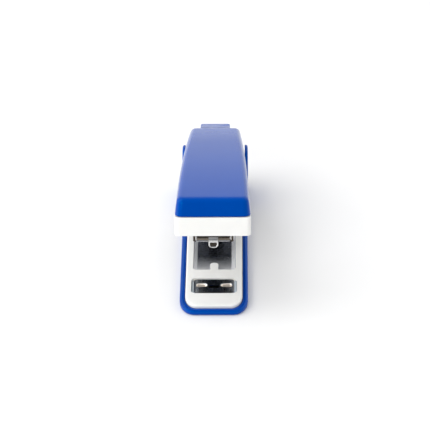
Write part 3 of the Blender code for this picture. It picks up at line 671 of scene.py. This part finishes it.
def make_nose():
    """Nose plate with a groove across it, two beads and bright nickel strips on the channel's cut edges as
    painted highlights.
    """
    half, top, back = NOSE_HIGH.x, NOSE_HIGH.z, NOSE_HIGH.y
    low, face = NOSE_BOTTOM, NOSE_FACE
    plate = [(-half, low + 0.12), (-half + 0.12, low), (half - 0.12, low), (half, low + 0.12), (half, top),
             (-half, top)]
    nose = piece("nose_plate", front_prism(plate, face, back), MAGAZINE, NOSE_STEEL, "magazine",
                 ("front_plate",))
    groove = rounded_box(half + 1.0, *NOSE_GROOVE, 0.1, 4)
    combine(nose, raw("groove", front_prism(groove, face - 1.0, face + 0.2), MAGAZINE))
    bevel(nose, 0.06)
    wall = CHANNEL_HIGH.x
    for side, label in ((-1, "right"), (1, "left")):
        bead = [(1.7, 0.02), (1.75, 0.2), (half - 0.05, 0.2), (half, 0.02)]
        if side < 0:
            bead = [(-along, radius) for along, radius in reversed(bead)]
        piece(f"nose_bead_{label}", turned(bead, (0, face, low + 0.2), 16), MAGAZINE, NICKEL, "magazine")
        # Bright nickel strips on the channel's cut edges are painted highlights.
        for number, (x, width) in enumerate(((wall - CHANNEL_WALL + 0.1, 0.2), (wall - 0.08, 0.1))):
            inside, outside = side * x - width / 2, side * x + width / 2
            edge = front_prism([(inside, low + 0.5), (outside, low + 0.5), (outside, top), (inside, top)],
                               CHANNEL_LOW.y - 0.03, CHANNEL_LOW.y + 0.05)
            piece(f"wall_edge_highlight_{label}_{number}", edge, MAGAZINE, NICKEL, "magazine")


def make_nose_tongue():
    """Rounded tongue, pressed forward from the nose plate, with a raised rim and a dark face in its dish
    that is painted shade.
    """
    low, front = NOSE_BOTTOM, NOSE_FACE
    width, corner, tip = 1.55, 1.2, NOSE_LOW.z
    rows = []
    steps = 30
    bend_top, bend_end, offset = low + 1.5, low + 0.15, 0.55
    for j in range(steps + 1):
        z = bend_top + 0.25 - (bend_top + 0.25 - tip) * j / steps
        reach = width - corner + math.sqrt(max(corner ** 2 - max(corner - (z - tip), 0.0) ** 2, 0.0))
        out = -offset * smooth_step((bend_top - z) / (bend_top - bend_end)) + 0.08
        rows.append((z, reach, out))
    columns = 24
    bm = bmesh.new()
    sheets = []
    for depth in (0.0, 0.4):
        sheet = []
        for z, reach, out in rows:
            line = []
            for i in range(columns + 1):
                x = reach * math.cos(math.pi * (1 - i / columns))
                rim = min(reach - abs(x), z - tip)
                dish = 0.26 * smooth_step((rim - 0.22) / 0.3) * smooth_step((low - 0.1 - z) / 0.35)
                line.append(bm.verts.new((x, front + out + depth + (dish if depth == 0.0 else 0.0), z)))
            sheet.append(line)
        sheets.append(sheet)
    for sheet in sheets:
        for lower, upper in zip(sheet, sheet[1:]):
            for i in range(columns):
                bm.faces.new((lower[i], lower[i + 1], upper[i + 1], upper[i]))
    fronts, backs = sheets
    for first, second in ((fronts[0], backs[0]), (fronts[-1], backs[-1])):
        for i in range(columns):
            bm.faces.new((first[i], first[i + 1], second[i + 1], second[i]))
    for side in (0, -1):
        for j in range(steps):
            bm.faces.new((fronts[j][side], fronts[j + 1][side], backs[j + 1][side], backs[j][side]))
    piece("nose_tongue", bm, MAGAZINE, NICKEL, "magazine", smooth_angle=50.0)
    # The dark face in the dish is a thin sheet of painted shade.
    face = [(-1.2, low + 0.05), (1.2, low + 0.05)]
    face += arc((0.35, tip + 1.18), (0.85, 0.85), 0, -90, 12)
    face += arc((-0.35, tip + 1.18), (0.85, 0.85), -90, -180, 12)
    piece("nose_tongue_shade_face", front_prism(face, front - 0.3, front - 0.15), MAGAZINE, SHADE_STEEL, "magazine")


def make_staples():
    """Fifty separate wires, each with rounded shoulders, glued side by side."""
    half, low, high = STRIP_HIGH.x, STRIP_LOW.z, STRIP_HIGH.z
    front, pitch = STRIP_LOW.y, (STRIP_HIGH.y - STRIP_LOW.y) / STAPLE_COUNT
    wire, bend = STAPLE_WIRE, (STAPLE_SHOULDER, STAPLE_SHOULDER)
    shoulder = high - wire / 2 - STAPLE_SHOULDER
    path = [(-half + wire / 2, low)]
    path += [(-half + wire / 2 + x, z) for x, z in arc((STAPLE_SHOULDER, shoulder), bend, 180, 90, 4)]
    path += [(half - wire / 2 + x, z) for x, z in arc((-STAPLE_SHOULDER, shoulder), bend, 90, 0, 4)]
    path.append((half - wire / 2, low))
    bm = bmesh.new()
    for number in range(STAPLE_COUNT):
        middle = front + pitch * (number + 0.5)
        rings = []
        for i, (x, z) in enumerate(path):
            before, after = path[max(i - 1, 0)], path[min(i + 1, len(path) - 1)]
            tangent = Vector((after[0] - before[0], after[1] - before[1])).normalized()
            normal = Vector((-tangent.y, tangent.x))
            ring = []
            for k in range(8):
                angle = math.tau * (k + 0.5) / 8
                out, along = 0.25 * math.cos(angle), 0.245 * math.sin(angle)
                ring.append((x + normal.x * out, middle + along, z + normal.y * out))
            rings.append(ring)
        skin(bm, rings)
    piece("staple_wires", bm, MAGAZINE, WIRE, "magazine", ("staple_strip",))


def make_pusher_spring():
    """Coil spring with its end turns closed up."""
    turns, per_turn, sides = 13, 26, 10
    centre_z, coil, wire = 2.3, 1.45, 0.2
    low, high = SPRING_LOW.y + wire, SPRING_HIGH.y - wire
    steps = turns * per_turn
    weights = []
    for i in range(steps):
        turn = i / per_turn
        weights.append(0.32 if turn < 1 or turn > turns - 1 else 1.0)
    total = sum(weights)
    along, rings = low, []
    for i in range(steps + 1):
        angle = math.tau * i / per_turn
        ring = []
        for k in range(sides):
            turn = math.tau * k / sides
            radius = coil + wire * math.cos(turn)
            ring.append((radius * math.cos(angle), along + wire * math.sin(turn),
                         centre_z + radius * math.sin(angle)))
        rings.append(ring)
        if i < steps:
            along += (high - low) * weights[i] / total
    spring = piece("pusher_coil", lofted(rings), MAGAZINE, SPRING, "magazine",
                   ("pusher_spring",), 60.0)
    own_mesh(spring)


# ---------------------------------------------------------------- handle

SKIRT_LOW = local_box("handle_skirt", HANDLE)[0]
HANDLE_FRONT, HANDLE_REAR = 72.65, -6.65
HANDLE_TOP, CROWN = 8.9, 1.75
NOSE_FALL, TAIL_RISE = 0.7, 0.35
SEAM = 2.25
WALL = 1.0
SKIRT_EDGE = 0.32
TAB_HALF_WIDTH, TAB_LENGTH = 5.15, 4.7
SIDE_STEPS, END_STEPS = 36, 10


def handle_half_width(u):
    """Half width at a distance u ahead of the pin; the handle narrows towards its rear."""
    back = HANDLE_FRONT - u
    return 11.52 - 0.012 * back - 0.00031 * back * back


def handle_outline(inset, corner=2.2):
    """Outline of the handle, drawn in by inset; corner is the radius of its front corners."""
    front, rear = HANDLE_FRONT - inset, HANDLE_REAR + inset
    front_r, rear_r = max(corner - inset * 0.6, 0.4), max(1.8 - inset * 0.6, 0.4)
    rear_x = handle_half_width(rear + rear_r) - inset
    right = arc((rear_x - rear_r, -(rear + rear_r)), (rear_r, rear_r), 90, 0, END_STEPS)
    for i in range(1, SIDE_STEPS):
        u = rear + rear_r + (front - front_r - rear - rear_r) * i / SIDE_STEPS
        right.append((handle_half_width(u) - inset, -u))
    front_x = handle_half_width(front - front_r) - inset
    right += arc((front_x - front_r, -(front - front_r)), (front_r, front_r), 0, -90, END_STEPS)
    return right + [(-x, y) for x, y in reversed(right)]


def crowned(outline, z):
    """A ring at height z that takes its share of the cover's lengthwise crown."""
    middle, half = (HANDLE_FRONT + HANDLE_REAR) / 2, (HANDLE_FRONT - HANDLE_REAR) / 2
    share = (z - SEAM) / (HANDLE_TOP - SEAM)
    points = []
    for x, y in outline:
        place = (-y - middle) / half
        rise = CROWN * (1 - place ** 2) - NOSE_FALL * (1 + place) / 2 + TAIL_RISE * (1 - place) / 2
        points.append((x, y, z + share * rise))
    return points


def make_cover():
    """Crowned blue shell with drafted sides, a tight top edge and a tab at the rear."""
    radius = 1.9
    outer = [(-0.42, SEAM + 0.3), (-0.5, SEAM + 0.4), (-0.47, 3.0), (-0.3, 4.6), (-0.12, 6.2)]
    outer += fillet(0.0, HANDLE_TOP - radius, radius, radius, 9)
    outer.append((2.8, HANDLE_TOP + 0.015))
    inner = [(1.9, HANDLE_TOP - WALL), (1.2, 7.0), (WALL - 0.22, 5.2), (WALL - 0.5, SEAM + 0.3)]
    bm = bmesh.new()
    loops = [[bm.verts.new(point) for point in crowned(handle_outline(inset), z)]
             for inset, z in outer + inner]
    count, caps = len(loops[0]), len(outer)
    pairs = [pair for i, pair in enumerate(zip(loops, loops[1:])) if i != caps - 1]
    pairs.append((loops[-1], loops[0]))
    for low, high in pairs:
        for i in range(count):
            j = (i + 1) % count
            bm.faces.new((low[i], low[j], high[j], high[i]))
    for ring in (loops[caps - 1], loops[caps]):
        for i in range(count // 2 - 1):
            bm.faces.new((ring[i], ring[i + 1], ring[-2 - i], ring[-1 - i]))
    cover = piece("cover_shell", bm, HANDLE, BLUE, "handle", ("handle_cover",))
    top = HANDLE_TOP + TAIL_RISE
    profile = [(0.2, top - 1.4), (0.05, top - 1.3), (0.0, top - 1.15)]
    profile += fillet(0.0, top - 0.38, 0.35, 0.35, 5)
    start, end = -HANDLE_REAR - 2.2, -HANDLE_REAR + TAB_LENGTH
    rings = [level(rounded_box(TAB_HALF_WIDTH - inset, start, end - inset, 0.9), z) for inset, z in profile]
    combine(cover, raw("tab", lofted(rings), HANDLE), "UNION")


def make_skirt():
    """White lower half of the handle with its lip inside the cover."""
    low = SKIRT_LOW.z
    outer = [(-0.58 + SKIRT_EDGE - SKIRT_EDGE * math.sin(math.radians(a)),
              low + SKIRT_EDGE * (1 - math.cos(math.radians(a)))) for a in (0, 18, 36, 54, 72, 90)]
    outer += fillet(-0.58, SEAM - 0.22, 0.22, 0.22, 4)
    lip = [(WALL - 0.2, SEAM), (WALL - 0.1, 4.1), (WALL + 0.4, 4.1), (WALL + 0.3, SEAM - 0.6),
           (0.75, SEAM - 1.0), (0.75, low + 0.2), (0.55, low)]
    rings = [level(handle_outline(inset, 1.1), z) for inset, z in outer + lip]
    skirt = piece("skirt_shell", lofted(rings, closed=True), HANDLE, WHITE, "handle",
                  ("handle_skirt",))
    room = [(-12, -14), (12, -14), (12, 4.0), (-12, 4.0)]
    combine(skirt, raw("lip_room", prism(room, SEAM + 0.05, 5.0), HANDLE))
    cheeks = [(-7.75, -14), (7.75, -14), (7.75, 4.0), (-7.75, 4.0)]
    combine(skirt, raw("cheek_room", prism(cheeks, 1.0, 5.0), HANDLE))
    hole = turned([(-12.0, PIN_HOLE_RADIUS), (12.0, PIN_HOLE_RADIUS)], (0, 0, 0))
    combine(skirt, raw("hole", hole, HANDLE))


# ---------------------------------------------------------------- leaf springs

def smooth_line(points, steps=5):
    """Catmull-Rom points through a line of (y, z) points."""
    padded = [points[0]] + points + [points[-1]]
    line = []
    for before, start, end, after in zip(padded, padded[1:], padded[2:], padded[3:]):
        for i in range(steps):
            t = i / steps
            weights = (-t ** 3 + 2 * t ** 2 - t, 3 * t ** 3 - 5 * t ** 2 + 2,
                       -3 * t ** 3 + 4 * t ** 2 + t, t ** 3 - t ** 2)
            line.append(tuple(sum(w * p[k] for w, p in zip(weights, (before, start, end, after))) / 2
                              for k in (0, 1)))
    return line + [points[-1]]


def leaf(name, line, half, thickness, place, look, body, node):
    """A bent strip with rounded long edges and eased ends."""
    rings = []
    for i, (y, z) in enumerate(line):
        (y0, z0), (y1, z1) = line[max(i - 1, 0)], line[min(i + 1, len(line) - 1)]
        length = math.hypot(y1 - y0, z1 - z0)
        normal = (-(z1 - z0) / length, (y1 - y0) / length)
        end = min(i, len(line) - 1 - i)
        width = half - (0.45, 0.15, 0.03)[end] if end < 3 else half
        ring = []
        for x, side in ((-width + 0.1, -1), (width - 0.1, -1), (width, -0.5), (width, 0.5), (width - 0.1, 1),
                        (-width + 0.1, 1), (-width, 0.5), (-width, -0.5)):
            ring.append((x, y + normal[0] * side * thickness / 2, z + normal[1] * side * thickness / 2))
        rings.append(ring)
    return piece(name, lofted(rings), place, look, body, (node,), 50.0)


def make_lift_spring():
    """Leaf spring, flat on the base at its rear, that rises towards the magazine."""
    low = local_box("lift_spring", BASE)[0].z + 0.2
    line = [(58.5, low), (54.0, low), (50.5, low)]
    reach, rise = 22.0, 14.6
    line += [(50.5 - reach * t, low + rise * (1.35 * t * t - 0.35 * t ** 3))
             for t in [i / 10 for i in range(1, 11)]]
    spring = leaf("lift_leaf", smooth_line(line), 2.6, 0.4, BASE, BLUED, "base",
                  "lift_spring")
    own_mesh(spring)


def make_driver_spring():
    """Bends down from the roof of the handle's frame onto the staples."""
    root = local_box("driver_spring", HANDLE)[1].z - 0.175
    line = [(-34.0, root), (-40.0, root)]
    reach, fall = 12.0, 6.3
    line += [(-40.0 - reach * t, root - fall * (1.5 * t * t - 0.5 * t ** 3))
             for t in [i / 8 for i in range(1, 9)]]
    leaf("driver_leaf", smooth_line(line), 6.1, 0.35, HANDLE, SPRING, "handle",
         "driver_spring")


# ---------------------------------------------------------------- CAD nodes that keep their shape

def dress(node, look, edge=0.0):
    """Gives a CAD node its material and, where it shows, rounded edges."""
    obj = frame["nodes"][node]
    obj.data.materials.clear()
    obj.data.materials.append(look)
    if edge:
        bevel(obj, edge)


def dress_nodes():
    for node, look, edge in (
            ("lift_spring_rivet", ZINC, 0.0), ("staple_rail", NICKEL, 0.0),
            ("magazine_rear_block", DARK, 0.2), ("guide_rod", NICKEL, 0.0), ("pusher", DARK, 0.0),
            ("handle_frame", ZINC, 0.1), ("driver_blade", SPRING, 0.06), ("driver_rivet", ZINC, 0.0)):
        dress(node, look, edge)


# ---------------------------------------------------------------- stage, light and camera

def make_stage():
    """Pale plain floor."""
    bm = bmesh.new()
    bmesh.ops.create_grid(bm, x_segments=1, y_segments=1, size=3.0)
    mesh = bpy.data.meshes.new("floor")
    bm.to_mesh(mesh)
    bm.free()
    mat, tree, shader = new_material("floor_paper", (0.93, 0.93, 0.93), 0.65, Specular_IOR_Level=0.2)
    cloud = ramp(tree, noise(tree, 40.0, 2.0), 0.0, 1.0)
    shade = tint(tree, cloud, (0.90, 0.90, 0.90), (0.91, 0.91, 0.91))
    tree.links.new(shade, shader.inputs["Base Color"])
    mesh.materials.append(mat)
    floor = bpy.data.objects.new("floor", mesh)
    bpy.context.collection.objects.link(floor)


def make_world():
    """Soft white room, brightest behind and above the stapler."""
    world = bpy.data.worlds.new("studio")
    bpy.context.scene.world = world
    world.use_nodes = True
    tree = world.node_tree
    background = tree.nodes["Background"]
    coords = tree.nodes.new("ShaderNodeTexCoord")
    parts = tree.nodes.new("ShaderNodeSeparateXYZ")
    tree.links.new(coords.outputs["Generated"], parts.inputs["Vector"])
    strength = ramp(tree, parts.outputs["Y"], 0.58, 1.03, -0.8, 0.6)
    tree.links.new(strength, background.inputs["Strength"])
    background.inputs["Color"].default_value = (1.0, 1.0, 1.0, 1.0)


def area_light(name, location, target, size, power):
    """A rectangular soft light that faces a target."""
    data = bpy.data.lights.new(name, "AREA")
    data.shape = "RECTANGLE"
    data.size, data.size_y = size
    data.energy = power
    light = bpy.data.objects.new(name, data)
    light.location = location
    light.rotation_euler = (Vector(target) - Vector(location)).to_track_quat("-Z", "Y").to_euler()
    bpy.context.collection.objects.link(light)


def make_camera():
    """Long lens from in front and above, with the slight turn and tilt of a hand-held shot."""
    elevation, azimuth, roll = math.radians(33.0), math.radians(0.9), math.radians(-0.7)
    distance, lens, sensor = 0.6867, 175.25, 36.0
    target = Vector((0.0004, FRONT_EDGE + 0.02669, 0.02144))
    back = Vector((math.sin(azimuth) * math.cos(elevation), -math.cos(azimuth) * math.cos(elevation),
                   math.sin(elevation)))
    data = bpy.data.cameras.new("camera")
    data.lens, data.sensor_width = lens, sensor
    data.clip_start, data.clip_end = 0.01, 20.0
    camera = bpy.data.objects.new("camera", data)
    camera.location = target + back * distance
    turn = (-back).to_track_quat("-Z", "Y").to_matrix().to_4x4() @ Matrix.Rotation(roll, 4, "Z")
    camera.rotation_euler = turn.to_euler()
    bpy.context.collection.objects.link(camera)
    bpy.context.scene.camera = camera


def make_light():
    make_world()
    area_light("left_softbox", (-0.75, 0.0, 0.95), (0, 0, 0), (0.7, 1.0), 5.6)
    area_light("left_strip", (-0.9, -0.1, 0.22), (0, 0, 0.01), (0.8, 0.25), 1.7)
    area_light("front_softbox", (-0.5, -0.85, 0.5), (0, 0, 0), (0.5, 0.5), 2.8)
    bpy.context.scene.view_settings.view_transform = "Standard"


for make in (make_sole, make_insert, make_tray, make_anvil, make_pads, make_pin, make_channel, make_nose,
             make_nose_tongue, make_staples, make_pusher_spring, make_lift_spring, make_driver_spring,
             make_cover, make_skirt, dress_nodes, make_stage, make_light, make_camera):
    make()
